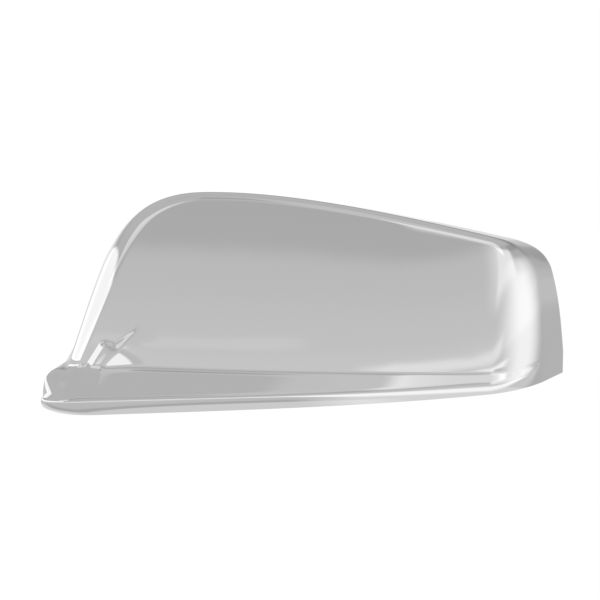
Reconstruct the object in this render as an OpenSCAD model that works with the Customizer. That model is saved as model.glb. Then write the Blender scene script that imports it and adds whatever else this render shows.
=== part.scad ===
// Chrome-plated wing mirror cover: one moulded shell with a ledge along its front, open at the back and below.
// Sizes are in millimetres. X runs outboard, the front looks along -Y, Z is up, the lower rim stands on Z = 0.

/* [Overall] */
// width over the nose and the outboard end
overall_w = 240; // [232:1:250]
// depth from the ledge crease to the back opening
overall_d = 88; // [84:1:96]
// height of the arch above the lower rim
arch_h = 94.6; // [90:0.5:99]
// moulded wall
wall = 2.5; // [2:0.1:3]

/* [Arch outline, seen from the front] */
// foot of the inboard edge
arch_left_x = -108; // [-109:0.5:-106]
// lean of the inboard edge at its foot, in degrees
arch_left_lean = 71; // [68:1:74]
// where the inboard edge turns into the arch
shoulder = [-89.8, 69.3];
// top of the arch, measured along X
arch_top_x = -48.5; // [-52:0.5:-45]
// outboard end of the top edge
top_end = [83, 70.7];
// outboard corner of the shoulder line
end_corner = [96.7, 54];
// foot of the outboard shoulder line
end_foot_x = 99.5; // [98:0.5:101]

/* [Front face] */
// depth of the face along its foot, as four even control values
face_y = [-30.2, -22, -25.2, 0.7];
// backward lean of the face from foot to top
face_lean = 8; // [6:0.5:10]
// further backward crown at the top
face_crown = 8; // [6:0.5:10]
// where the face ends and the outboard turn begins
face_end_x = 82; // [80:0.5:84]
// raised crease near the lower inboard corner
crease_rise = 1.8; // [0.8:0.1:2]

/* [Edges and walls] */
// width of the rounded edge from the inboard foot to the top, as four even control values
edge_leg = [5.7, 9.5, 7.5, 3.8];
// outward run of the inboard wall per mm of depth
side_draft = 0.03; // [0.01:0.01:0.05]
// rise of the inboard wall's foot per mm of depth
foot_lift = 0.12; // [0.06:0.02:0.16]
// fall of the top wall per mm of depth
top_fall = 0.15; // [0.12:0.01:0.18]
// outward run of the outboard wall per mm of depth
end_flare = 0.58; // [0.54:0.01:0.6]

/* [Ledge] */
// depth of the ledge crease, as four even control values
ledge_y = [-44, -34.2, -27.7, -1.2];
// height of the line where the face meets the ledge
junction_z = [19.4, 14.6, 14.6, 9.6];
// height of the ledge crease along the front
crease_z = [7.8, 7.6, 6.4, 4.4];
// height of the crease on the inboard side of the nose
crease_side_z = 6.6; // [6:0.1:7.2]
// height of the crease at the outboard end
crease_end_z = 7.6; // [7:0.1:8]
// rounding of the nose, across and along
nose_round = [14, 10];
// fullness of the nose flank
nose_bulge = 0.52; // [0.4:0.02:0.56]
// narrowing of the inboard ledge towards the back
side_taper = 6; // [4:0.5:7]
// how far the lower rim is set in under the crease
rim_inset = 2.2; // [1.6:0.1:2.6]
// further rounding of the rim's nose for each mm that it is set in, across and along
rim_tuck = [4, 4];

/* [Inside] */
// X and Z of the locating pins
pins = [[-46, 58], [48, 46]];
// pin radius
pin_r = 3; // [2.6:0.1:3.4]
// radius of the boss that carries a pin
boss_r = 5; // [4.5:0.1:5.5]
// depth at which a boss ends
boss_end_y = 16; // [12:1:18]
// depth at which a pin ends
pin_end_y = 30; // [26:1:34]
// half the spread of the four fins that brace a boss
fin_reach = 13; // [11:1:15]
// thickness of ribs and fins
rib_t = 1.6; // [1.2:0.1:2]
// how far a rib stands off the middle of the wall
rib_depth = 8; // [6:0.5:10]
// height above the rim at which the ribs end
rib_foot_z = 34; // [30:1:40]
// width of a snap hook
hook_w = 12; // [10:1:14]
// length of a snap hook
hook_l = 12; // [10:0.5:14]
// depth of a snap hook's back
hook_y = 38; // [36:0.5:39]

/* [Hidden] */
half_w = overall_w / 2;
back_y = overall_d / 2;
fillet_left = 2.2;
fillet_right = 0.8;
face_rise = 75;
arch_left_in = edge_leg[0];
foot_x0 = arch_left_x + arch_left_in;
span = face_end_x - foot_x0;
// number of steps along the five stretches of the arch, and across each surface
arch_steps = [8, 10, 26, 9, 8];
face_rows = 16;
wall_rows = 3;
edge_rows = 6;
fillet_rows = 4;
slope_rows = 3;
crease_rows = 3;
lip_rows = 4;
// steps along the top edge that carry a rib or a snap hook
rib_steps = [21, 28, 35, 41];
hook_steps = [24, 31, 38];

arch = [
  [arch_left_x, junction_z[0] + fillet_left, arch_left_lean, 0, 17],
  [shoulder[0], shoulder[1], 65, 17, 18],
  [arch_top_x, arch_h, 0, 23, 40],
  [top_end[0], top_end[1], -16.5, 45, 12],
  [end_corner[0], end_corner[1], -80, 9, 16],
  [end_foot_x, junction_z[3] + fillet_right, -88, 14, 0]
];
share = [[0, 0], [1, 0.16], [2, 0.33], [3, 0.78], [4, 0.88], [5, 1]];

// cubic through four control values or points, and its slope
function cubic(v, q) =
  pow(1 - q, 3) * v[0] + 3 * q * pow(1 - q, 2) * v[1] + 3 * q * q * (1 - q) * v[2] + pow(q, 3) * v[3];
function cubic_slope(v, q) =
  3 * (pow(1 - q, 2) * (v[1] - v[0]) + 2 * q * (1 - q) * (v[2] - v[1]) + q * q * (v[3] - v[2]));
function clamp(t) = min(1, max(0, t));
function ease(t) = let (u = clamp(t)) u * u * (3 - 2 * u);
function mix(a, b, t) = a + (b - a) * t;
function heading(a) = [cos(a), sin(a)];
function unit(v) = v / norm(v);
// conic from a to c that leaves and arrives along the lines to b; w above 0.7 pulls it tighter to b
function conic(a, b, c, w, t) =
  let (u = 1 - t, k = 2 * t * u * w)
  (u * u * a + k * b + t * t * c) / (u * u + k + t * t);

function fillet_size(s) = mix(fillet_left, fillet_right, ease(s));
function foot_q(x) = (x - foot_x0) / span;
function foot_z(x) = cubic(junction_z, min(1.02, max(-0.02, foot_q(x))));
// a rounded step on its inboard side, a crest, and a hollow flank outboard of the crest
function crease_bump(x, z) =
  let (
    a = (x + 92) * cos(47) + (z - 20) * sin(47),
    b = -(x + 92) * sin(47) + (z - 20) * cos(47),
    left = mix(7.6 + 0.2 * a, max(0.27 * (23 - a), 1.2), ease((a - 6) / 4)),
    q = b > 0 ? b / left : -b / (12 + 0.3 * a),
    high = b > 0 ? 0.6 * (1 - ease((q - 0.7) / 0.3)) + 0.4 * (1 - ease(q / 0.8)) : pow(1 - clamp(q), 2)
  )
  -crease_rise * high * (1 - ease((a - 4) / 21));
function face_depth(x, z) =
  let (h = (z - foot_z(x)) / face_rise)
  cubic(face_y, foot_q(x)) + face_lean * h + face_crown * h * h + crease_bump(x, z);

// the edge of the face, the shoulder and the rim at one place on the arch
function arch_points(k) = let (a = arch[k], b = arch[k + 1])
  [[a[0], a[1]], [a[0], a[1]] + a[4] * heading(a[2]), [b[0], b[1]] - b[3] * heading(b[2]), [b[0], b[1]]];
function face_edge(u, v, n) =
  u <= 3
  ? v + cubic(edge_leg, clamp(u / 2)) * n
  : let (
      p = arch_points(2)[3],
      t = unit(cubic_slope(arch_points(2), 1)),
      top = p + edge_leg[3] * [t[1], -t[0]],
      foot = [face_end_x, arch[5][1]],
      f = u < 4 ? 0.36 * (u - 3) : 0.36 + 0.64 * (u - 4)
    )
    cubic([top, top + 8 * t, foot + [0, 30], foot], f);
function station(k, s, skin) =
  let (
    u = k + s,
    p = arch_points(k),
    v = cubic(p, s),
    t = unit(cubic_slope(p, s)),
    n = unit(mix([1, 0], [t[1], -t[0]], ease(u))),
    c = face_edge(u, v, n),
    e = 0.01,
    gx = (face_depth(c[0] + e, c[1]) - face_depth(c[0] - e, c[1])) / (2 * e),
    gz = (face_depth(c[0], c[1] + e) - face_depth(c[0], c[1] - e)) / (2 * e),
    cy = face_depth(c[0], c[1]),
    vy = cy + gx * (v[0] - c[0]) + gz * (v[1] - c[1]),
    vi = v + skin * n,
    vyi = vy + skin * (1 + gx * n[0] + gz * n[1]),
    run = [
      -side_draft * (1 - ease((u - 0.6) / 1.2)) + end_flare * ease((u - 2.2) / 1.9),
      -top_fall * ease((u - 0.6) / 1.2) * (1 - ease((u - 3.2) / 1.8))
    ] + foot_lift * (1 - ease(u / 0.8)) * t,
    turn = ease((u - 2.9) / 1.1),
    leg = mix(cubic(edge_leg, clamp(u / 2)), (back_y - vy) / 2, turn),
    by = vy + leg,
    b = vi + leg * run,
    o = vi + (back_y - vy) * run
  )
  concat(
    [for (i = [0 : wall_rows]) let (f = i / wall_rows, q = mix(o, b, f)) [q[0], mix(back_y, by, f), q[1]]],
    [for (i = [1 : edge_rows])
      conic([b[0], by, b[1]], [vi[0], vyi, vi[1]], [c[0], cy + skin, c[1]], mix(0.8, 0.85, turn), i / edge_rows)]
  );

// places along the arch: stretch number and the part of it that is passed
places = [for (k = [0 : 4]) for (i = [0 : arch_steps[k] - (k < 4 ? 1 : 0)]) [k, i / arch_steps[k]]];
last = len(places) - 1;
arch_rows = wall_rows + edge_rows;
parts = [for (p = places) lookup(p[0] + p[1], share)];
function wall_grid(skin) = [for (p = places) station(p[0], p[1], skin)];

// one point of the front face between the ledge and the edge of the face, in rows that close up towards the ledge
function face_point(i, k, skin, grid) =
  let (
    c = grid[i][arch_rows],
    f = pow(k / face_rows, 1.4),
    x = mix(foot_x0 + span * parts[i], c[0], f),
    z0 = foot_z(foot_x0 + span * parts[i]) + fillet_size(parts[i]),
    z = mix(z0, c[2], f)
  )
  [x, face_depth(x, z) + skin, z];

// the ledge is carried along a chain: inboard wall, foot of the face, outboard wall
chain_n = 2 * arch_rows + last;
function chain_part(j) = j <= arch_rows ? 0 : j >= arch_rows + last ? 1 : parts[j - arch_rows];
function chain_point(j, skin, grid) =
  j <= arch_rows ? grid[0][j] :
  j < arch_rows + last ? face_point(j - arch_rows, 0, skin, grid) :
  grid[last][chain_n - j];
function sharp_point(j, skin, grid) =
  let (p = chain_point(j, skin, grid), f = fillet_size(chain_part(j)))
  [p[0], j < arch_rows || j > arch_rows + last ? p[1] : face_depth(p[0], p[2] - f) + skin, p[2] - f];
// plan of the crease, or of the rim when it is set in by more
function nose_across(inset) = nose_round[0] + rim_tuck[0] * inset;
function ring_front(s, off, inset) =
  let (x0 = -half_w + nose_round[0], x = mix(-half_w + off + inset + nose_across(inset), face_end_x, s))
  [x, cubic(ledge_y, (x - x0) / (face_end_x - x0)) + off + inset * (1 - s)];
function ring_point(j, off, inset, skin, grid) =
  let (
    x1 = -half_w + off + inset,
    p = ring_front(0, off, inset),
    along = face_end_x + half_w - nose_round[0],
    slope = cubic_slope(ledge_y, 1 - (face_end_x - p[0]) / along) / along - inset / (face_end_x - p[0]),
    corner = [x1, p[1] - slope * nose_across(inset)],
    turn = corner + [0, nose_round[1] + rim_tuck[1] * inset],
    row = grid[0][min(j, wall_rows)][1],
    row0 = grid[0][wall_rows][1],
    f = (back_y - row) / (back_y - row0)
  )
  j <= wall_rows ? [x1 + side_taper * ease(1 - f), mix(back_y, turn[1], f)] :
  j < arch_rows ? conic(turn, corner, p, 0.75, (j - wall_rows) / edge_rows) :
  j <= arch_rows + last ? ring_front(chain_part(j), off, inset) :
  let (
    q = sharp_point(j, skin, grid),
    q0 = sharp_point(arch_rows + last, skin, grid),
    gap = ring_front(1, off, inset) - [q0[0], q0[1]],
    r = (j - arch_rows - last) / arch_rows
  )
  [q[0], q[1]] + gap * (1 - ease(1.4 * r));
function crease_height(j) =
  j <= wall_rows ? crease_side_z :
  j <= arch_rows ? mix(crease_side_z, crease_z[0], ease((j - wall_rows) / edge_rows)) :
  j <= arch_rows + last ? cubic(crease_z, chain_part(j)) :
  mix(crease_z[3], crease_end_z, ease(1.3 * (j - arch_rows - last) / arch_rows));
function ledge_column(j, skin, grid) =
  let (
    a = chain_point(j, skin, grid),
    s0 = sharp_point(j, skin, grid),
    k0 = ring_point(j, skin, 0, skin, grid),
    kz = crease_height(j),
    w = norm([s0[0] - k0[0], s0[1] - k0[1]]),
    h = s0[2] - kz,
    l = norm([w, h]),
    dz = w < 0.5 ? 0 : -skin * w / l - skin * h * (h - l) / (w * l),
    s = s0 + [0, 0, dz],
    k = [k0[0], k0[1], kz + dz],
    d = unit(k - s),
    fb = min(1.1 * fillet_size(chain_part(j)), 0.3 * l),
    fk = min(1.6, 0.3 * l),
    sb = s + fb * d,
    ka = k - fk * d,
    kb = k - [0, 0, min(1.3, 0.3 * k[2])],
    y = a[1] - grid[0][wall_rows][1],
    bulge = nose_bulge * (
      j <= wall_rows ? 1 - ease(y / 20) :
      j <= arch_rows ? 1 - ease((j - wall_rows) / edge_rows) : 0
    ),
    o = w < 0.5 ? [0, 0] : [k[0] - s[0], k[1] - s[1]] / w,
    m = (sb + ka) / 2 + bulge * [o[0] * h, o[1] * h, w],
    e2 = ring_point(j, skin, 0.2 * rim_inset, skin, grid),
    e = [e2[0], e2[1], 0.35 * k[2]],
    r2 = ring_point(j, skin, rim_inset, skin, grid),
    r = [r2[0], r2[1], 0]
  )
  concat(
    [for (i = [1 : fillet_rows]) conic(a, s, sb, 1, i / fillet_rows)],
    [for (i = [1 : slope_rows]) conic(sb, m, ka, 1, i / slope_rows)],
    [for (i = [1 : crease_rows]) conic(ka, k, kb, 1, i / crease_rows)],
    [for (i = [1 : lip_rows]) conic(kb, e, r, 2, i / lip_rows)]
  );

// one skin as a list of points: walls, then the face, then the ledge
ledge_rows = fillet_rows + slope_rows + crease_rows + lip_rows;
wall_n = (last + 1) * (arch_rows + 1);
face_n = (last - 1) * face_rows;
skin_n = wall_n + face_n + (chain_n + 1) * ledge_rows;
function skin_points(skin) =
  let (grid = wall_grid(skin))
  concat(
    [for (c = grid) each c],
    [for (i = [1 : last - 1]) for (k = [0 : face_rows - 1]) face_point(i, k, skin, grid)],
    [for (j = [0 : chain_n]) each ledge_column(j, skin, grid)]
  );
function wall_id(i, r) = i * (arch_rows + 1) + r;
function face_id(i, k) =
  i == 0 || i == last || k == face_rows ? wall_id(i, arch_rows) : wall_n + (i - 1) * face_rows + k;
function ledge_id(j, r) =
  r > 0 ? wall_n + face_n + j * ledge_rows + r - 1 :
  j <= arch_rows ? wall_id(0, j) :
  j < arch_rows + last ? face_id(j - arch_rows, 0) :
  wall_id(last, chain_n - j);
// a quad as two triangles, without the ones that close up at the ends of the face
function quad(a, b, c, d) = [if (a != b && b != c && a != c) [a, c, b], if (a != c && c != d && a != d) [a, d, c]];
skin_faces = concat(
  [for (i = [0 : last - 1]) for (r = [0 : arch_rows - 1]) each
    quad(wall_id(i, r), wall_id(i, r + 1), wall_id(i + 1, r + 1), wall_id(i + 1, r))],
  [for (i = [0 : last - 1]) for (k = [0 : face_rows - 1]) each
    quad(face_id(i, k + 1), face_id(i, k), face_id(i + 1, k), face_id(i + 1, k + 1))],
  [for (j = [0 : chain_n - 1]) for (r = [0 : ledge_rows - 1]) each
    quad(ledge_id(j, r), ledge_id(j, r + 1), ledge_id(j + 1, r + 1), ledge_id(j + 1, r))]
);
function turned(f) = [f[2], f[1], f[0]];
// the rim of the opening: along the walls at the back, then down each end of the ledge and along its foot
rim = concat(
  [for (i = [0 : last]) wall_id(i, 0)],
  [for (r = [1 : ledge_rows]) ledge_id(chain_n, r)],
  [for (j = [chain_n - 1 : -1 : 0]) ledge_id(j, ledge_rows)],
  [for (r = [ledge_rows - 1 : -1 : 1]) ledge_id(0, r)]
);
rim_faces = [for (i = [0 : len(rim) - 1])
  let (a = rim[i], b = rim[(i + 1) % len(rim)])
  each quad(a, b, b + skin_n, a + skin_n)];

module shell() {
  polyhedron(
    points = concat(skin_points(0), skin_points(wall)),
    faces = concat(skin_faces, [for (f = skin_faces) turned(f) + [skin_n, skin_n, skin_n]], rim_faces)
  );
}

// middle of the wall, which the inner parts are rooted in
mid_grid = wall_grid(wall / 2);
function mid_face(x, z) = face_depth(x, z) + wall / 2;
function mid_top(i, y) =
  let (a = mid_grid[i][0], b = mid_grid[i][wall_rows])
  mix(a[2], b[2], (back_y - y) / (back_y - b[1]));

// a plate across X with its outline given as depth and height
module plate_x(x, t, outline) {
  translate([x - t / 2, 0, 0])
    rotate([90, 0, 90])
      linear_extrude(t)
        polygon(outline);
}

// a rib that follows the top wall and the face
module rib(i) {
  column = mid_grid[i];
  x = column[arch_rows][0];
  z0 = column[arch_rows][2];
  down = [for (k = [1 : 4]) mix(z0, rib_foot_z, k / 4)];
  plate_x(x, rib_t, concat(
    [[hook_y, mid_top(i, hook_y)]],
    [for (r = [wall_rows : arch_rows]) [column[r][1], column[r][2]]],
    [for (z = down) [mid_face(x, z), z]],
    [for (k = [3 : -1 : 0]) [mid_face(x, down[k]) + rib_depth, down[k] + (k == 3 ? rib_depth : 0)]],
    [[column[wall_rows][1] + rib_depth, column[wall_rows][2] - rib_depth]],
    [[hook_y - rib_depth, mid_top(i, hook_y) - rib_depth]]
  ));
}

// a snap hook hanging from the top wall, its catch towards the back
module hook(i) {
  top = mid_top(i, hook_y);
  plate_x(mid_grid[i][0][0], hook_w, [
    [hook_y - 2.2, top], [hook_y, top], [hook_y, top - hook_l + 5], [hook_y + 2.4, top - hook_l + 3.6],
    [hook_y + 0.4, top - hook_l], [hook_y - 2.2, top - hook_l]
  ]);
}

// a round boss whose root follows the sloping face
module boss(p, r, steps = 24) {
  ring = [for (i = [0 : steps - 1]) p + r * heading(360 * i / steps)];
  polyhedron(
    points = concat(
      [for (q = ring) [q[0], mid_face(q[0], q[1]), q[1]]],
      [for (q = ring) [q[0], boss_end_y, q[1]]],
      [[p[0], mid_face(p[0], p[1]), p[1]]]
    ),
    faces = concat(
      [for (i = [0 : steps - 1]) [(i + 1) % steps, i, 2 * steps]],
      [for (i = [0 : steps - 1]) let (k = (i + 1) % steps) [k + steps, i + steps, i]],
      [for (i = [0 : steps - 1]) let (k = (i + 1) % steps) [k, k + steps, i]],
      [[for (i = [0 : steps - 1]) i + steps]]
    )
  );
}

// a locating pin on its boss, with four fins that brace it
module pin(p) {
  root = mid_face(p[0], p[1]);
  end = boss_end_y - 1;
  step = boss_r - 1;
  boss(p, boss_r);
  translate([p[0], boss_end_y - 8, p[1]])
    rotate([-90, 0, 0])
      cylinder(r = pin_r, h = pin_end_y - boss_end_y + 8, $fn = 48);
  plate_x(p[0], rib_t, [
    [mid_face(p[0], p[1] - fin_reach), p[1] - fin_reach], [root, p[1]],
    [mid_face(p[0], p[1] + fin_reach), p[1] + fin_reach], [end, p[1] + step], [end, p[1] - step]
  ]);
  translate([0, 0, p[1] - rib_t / 2])
    linear_extrude(rib_t)
      polygon([
        [p[0] - fin_reach, mid_face(p[0] - fin_reach, p[1])], [p[0], root],
        [p[0] + fin_reach, mid_face(p[0] + fin_reach, p[1])], [p[0] + step, end], [p[0] - step, end]
      ]);
}

// the whole moulding
module mirror_cover() color("silver") {
  shell();
  for (p = pins) pin(p);
  for (i = rib_steps) rib(i);
  for (i = hook_steps) hook(i);
}

mirror_cover();
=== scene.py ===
# %% [markdown]
# # Wing mirror cover
# The object is the chrome cap that clips over the back of a car's door mirror. It is one plastic
# moulding, about 2.5 mm thick and plated mirror-bright. Everything that a viewer sees on it is a
# reflection, so the job is to make a very smooth surface first, and then a studio for it to reflect.
#
# The solid model is loaded first. It is the frame: its box is kept, so the dressed piece can be held to
# it.

# %% Load the solid model and keep its box
import bpy
import numpy as np
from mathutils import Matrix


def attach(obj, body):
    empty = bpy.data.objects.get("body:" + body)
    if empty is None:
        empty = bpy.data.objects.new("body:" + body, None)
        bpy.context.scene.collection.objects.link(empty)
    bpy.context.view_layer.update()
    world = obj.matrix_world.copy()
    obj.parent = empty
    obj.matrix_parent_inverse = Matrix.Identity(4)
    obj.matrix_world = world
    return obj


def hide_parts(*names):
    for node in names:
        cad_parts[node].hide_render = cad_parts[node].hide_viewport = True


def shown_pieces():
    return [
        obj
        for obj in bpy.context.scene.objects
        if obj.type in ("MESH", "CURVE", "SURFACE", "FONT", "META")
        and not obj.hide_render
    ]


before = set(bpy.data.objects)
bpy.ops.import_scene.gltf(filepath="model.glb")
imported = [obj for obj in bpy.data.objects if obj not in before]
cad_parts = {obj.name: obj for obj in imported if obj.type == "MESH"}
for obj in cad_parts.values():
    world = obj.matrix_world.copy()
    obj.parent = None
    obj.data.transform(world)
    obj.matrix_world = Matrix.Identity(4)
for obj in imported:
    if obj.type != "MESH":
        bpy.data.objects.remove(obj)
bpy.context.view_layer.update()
print("solid nodes:", len(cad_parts))

# %% [markdown]
# ## Camera
# The photograph looks at the cap from in front and a little above, from about a metre away with a long
# lens. The lens is found from the picture's scale: 2.2 pixels for each millimetre at the middle of the
# cap.

# %% The camera
MM_PER_M = 1000.0
SENSOR_WIDTH, PICTURE_WIDTH, PIXELS_PER_MM = 36.0, 600.0, 2.2
CAMERA_ELEVATION, CAMERA_DISTANCE = np.radians(11.0), 1.0
CAMERA_AIM = np.array([-0.00554, 0.0, 0.04389])
camera_data = bpy.data.cameras.new("photo_camera")
camera_data.sensor_width = SENSOR_WIDTH
camera_data.lens = SENSOR_WIDTH * PIXELS_PER_MM * MM_PER_M * CAMERA_DISTANCE / PICTURE_WIDTH
camera_data.clip_start, camera_data.clip_end = 0.01, 60.0
camera = bpy.data.objects.new("photo_camera", camera_data)
bpy.context.scene.collection.objects.link(camera)
bpy.context.scene.camera = camera
camera_back = np.array([0.0, -np.cos(CAMERA_ELEVATION), np.sin(CAMERA_ELEVATION)])
camera.location = CAMERA_AIM + CAMERA_DISTANCE * camera_back
camera.rotation_euler = (np.pi / 2 - CAMERA_ELEVATION, 0.0, 0.0)
print("camera at", [round(v, 3) for v in camera.location], "lens", round(camera_data.lens, 1), "mm")

# %% [markdown]
# ## Three kinds of curve
# The whole cap is drawn with three small helpers. An ease runs smoothly from 0 to 1. A cubic is the usual
# four-point curve. A conic turns from one line into another and can be pulled tight into the corner or
# left wide: that is how a designer draws a rounded edge whose radius changes along its length.

# %% Ease, cubic and conic
def ease(t):
    """3 t squared minus 2 t cubed, with t held between 0 and 1."""
    t = np.clip(t, 0.0, 1.0)
    return t * t * (3.0 - 2.0 * t)


def cubic(v, q):
    """The four control values weighted by (1-q)^3, 3 q (1-q)^2, 3 q^2 (1-q) and q^3."""
    p = 1.0 - q
    return p**3 * v[0] + 3 * q * p**2 * v[1] + 3 * q**2 * p * v[2] + q**3 * v[3]


def cubic_slope(v, q):
    """The rate of change of the cubic with q."""
    p = 1.0 - q
    return 3 * (p**2 * (v[1] - v[0]) + 2 * q * p * (v[2] - v[1]) + q**2 * (v[3] - v[2]))


def conic(a, b, c, w, t):
    """A curve from a to c that leaves and arrives along the lines to b; a larger w pulls it closer to b."""
    p, k = 1.0 - t, 2.0 * t * (1.0 - t) * w
    return (p * p * a + k * b + t * t * c) / (p * p + k + t * t)


def mix(a, b, t):
    """a at t 0, b at t 1, and in a straight line between."""
    return a + (b - a) * t


def heading(degrees):
    """The unit direction at that angle from the X axis."""
    return np.array([np.cos(np.radians(degrees)), np.sin(np.radians(degrees))])


def unit(v):
    """v over its length, along the last axis."""
    return v / np.linalg.norm(v, axis=-1, keepdims=True)


print("halfway round a conic with weight 0.8:", round(conic(0.0, 1.0, 1.0, 0.8, 0.5), 3))

# %% [markdown]
# ## The sizes of the cap
# These are the same named sizes as in the solid model, in millimetres. The arch is the outline seen from
# the front: a steep edge at the mirror's inboard side, a rounded shoulder, a long top edge that falls
# towards the outboard end, and the outboard corner. Each knot has its place, its heading and the reach of
# its two handles.

# %% Named sizes
HALF_W, BACK_Y, WALL = 120.0, 44.0, 2.5
FILLET_LEFT, FILLET_RIGHT = 2.2, 0.8
FACE_Y = [-30.2, -22.0, -25.2, 0.7]
FACE_LEAN, FACE_CROWN, FACE_RISE = 8.0, 8.0, 75.0
FACE_END_X, CREASE_RISE = 82.0, 1.8
EDGE_LEG = [5.7, 9.5, 7.5, 3.8]
SIDE_DRAFT, FOOT_LIFT, TOP_FALL, END_FLARE = 0.03, 0.12, 0.15, 0.58
LEDGE_Y = [-44.0, -34.2, -27.7, -1.2]
JUNCTION_Z = [19.4, 14.6, 14.6, 9.6]
CREASE_Z = [7.8, 7.6, 6.4, 4.4]
CREASE_SIDE_Z, CREASE_END_Z = 6.6, 7.6
NOSE_ROUND, NOSE_BULGE, SIDE_TAPER, RIM_INSET = (14.0, 10.0), 0.52, 6.0, 2.2
RIM_TUCK, LIP_TIGHT = (4.0, 4.0), 2.0
ARCH_LEFT_X = -108.0
ARCH = np.array([
    # x, z, heading in degrees, reach of the handle before the knot and of the one after it
    [ARCH_LEFT_X, JUNCTION_Z[0] + FILLET_LEFT, 71.0, 0.0, 17.0],
    [-89.8, 69.3, 65.0, 17.0, 18.0],
    [-48.5, 94.6, 0.0, 23.0, 40.0],
    [83.0, 70.7, -16.5, 45.0, 12.0],
    [96.7, 54.0, -80.0, 9.0, 16.0],
    [99.5, JUNCTION_Z[3] + FILLET_RIGHT, -88.0, 14.0, 0.0],
])
# three of the knots, counted from the inboard foot
TOP, TOP_END, CORNER = 2, 3, 4
# every knot, and the part of the face's foot that is passed there
SHARE = ([0, 1, 2, 3, 4, 5], [0.0, 0.16, 0.33, 0.78, 0.88, 1.0])
FOOT_X0 = ARCH_LEFT_X + EDGE_LEG[0]
print("the cap is", 2 * HALF_W, "mm long and", 2 * BACK_Y, "mm deep")

# %% [markdown]
# ## The front face
# The face is not flat: it sweeps back towards the outboard end, leans back with height and is crowned. It
# also has a small raised crease near its lower inboard corner, where the photograph shows a bright curled
# reflection. All of that is one depth for each place (x, z) seen from the front, so that any grid laid
# over it lands on one surface.

# %% The raised crease
CREASE_FOOT, CREASE_HEADING = (-92.0, 20.0), 47.0
STEP_WIDTH, STEP_WIDENS, STEEP_SHARE, STEEP_FROM, GENTLE_END = 7.6, 0.2, 0.6, 0.7, 0.8
TIP_FROM, TIP_TAKES, TIP_END, TIP_TAPER, TIP_WIDTH = 6.0, 4.0, 23.0, 0.27, 1.2
HOLLOW_WIDTH, HOLLOW_WIDENS = 12.0, 0.3
FADE_FROM, FADE_TAKES = 4.0, 21.0


def crease_bump(x, z):
    """A ridge rising outboard at 47 degrees: a step inboard of its crest, a hollow outboard, faded upward.

    q is 0 at the crest and 1 at the end of a flank. The step is a steep ease and a gentle one added up, and
    its width tapers to a tip. The hollow is (1-q) squared.
    """
    dx, dz = x - CREASE_FOOT[0], z - CREASE_FOOT[1]
    run, rise = heading(CREASE_HEADING)
    along, aside = dx * run + dz * rise, dz * run - dx * rise
    tip_width = np.maximum(TIP_TAPER * (TIP_END - along), TIP_WIDTH)
    step_width = mix(STEP_WIDTH + STEP_WIDENS * along, tip_width, ease((along - TIP_FROM) / TIP_TAKES))
    q = np.where(aside > 0, aside / step_width, -aside / (HOLLOW_WIDTH + HOLLOW_WIDENS * along))
    steep, gentle = 1 - ease((q - STEEP_FROM) / (1 - STEEP_FROM)), 1 - ease(q / GENTLE_END)
    step = STEEP_SHARE * steep + (1 - STEEP_SHARE) * gentle
    high = np.where(aside > 0, step, (1 - np.clip(q, 0, 1)) ** 2)
    return -CREASE_RISE * high * (1 - ease((along - FADE_FROM) / FADE_TAKES))


print("height of the crease at its foot:", round(-float(crease_bump(*CREASE_FOOT)), 2), "mm")

# %% Depth of the face
FOOT_RANGE = (-0.02, 1.02)


def face_part(x):
    """The part of the face's foot that is passed at x."""
    return (x - FOOT_X0) / (FACE_END_X - FOOT_X0)


def foot_z(x):
    """Height of the line where face and ledge meet, a cubic along the cap, held level past its ends."""
    return cubic(JUNCTION_Z, np.clip(face_part(x), *FOOT_RANGE))


def face_depth(x, z):
    """Sweep as a cubic in x, plus lean and crown as first and second power of the height over the foot."""
    h = (z - foot_z(x)) / FACE_RISE
    return cubic(FACE_Y, face_part(x)) + FACE_LEAN * h + FACE_CROWN * h * h + crease_bump(x, z)


print("depth at the foot of the face:", round(float(face_depth(-40.0, 17.0)), 1), "mm")
print("depth at the top of the face:", round(float(face_depth(-40.0, 90.0)), 1), "mm")

# %% [markdown]
# ## The arch wall
# The wall starts at the back rim, runs forward and turns over a rounded edge into the face. At each
# station along the arch the edge is a conic from the wall to the face. Its corner point lies in the plane
# that touches the face, so wall, edge and face flow into each other without a kink. At the outboard end
# the same conic opens out into the wide turn that carries the tall white reflection.

# %% Stations along the arch
END_SHARE, END_REACHES = 0.36, (8.0, 30.0)


def stations(steps):
    """Stretch number and part passed, for that many steps on each of the five stretches of the arch."""
    k = np.concatenate([np.full(n, i) for i, n in enumerate(steps)] + [[len(steps) - 1]])
    s = np.concatenate([np.arange(n) / n for n in steps] + [[1.0]])
    return k.astype(int), s


def arch_handles(k):
    """The four control points of each stretch, from the headings and reaches of its two knots."""
    a, b = ARCH[k], ARCH[np.asarray(k) + 1]
    reach_a = a[..., 4:5] * np.moveaxis(heading(a[..., 2]), 0, -1)
    reach_b = b[..., 3:4] * np.moveaxis(heading(b[..., 2]), 0, -1)
    return [a[..., :2], a[..., :2] + reach_a, b[..., :2] - reach_b, b[..., :2]]


def edge_leg(u):
    """Width of the rounded edge, a cubic from the foot of the arch to its top."""
    return cubic(EDGE_LEG, np.clip(u / TOP, 0, 1))


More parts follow.
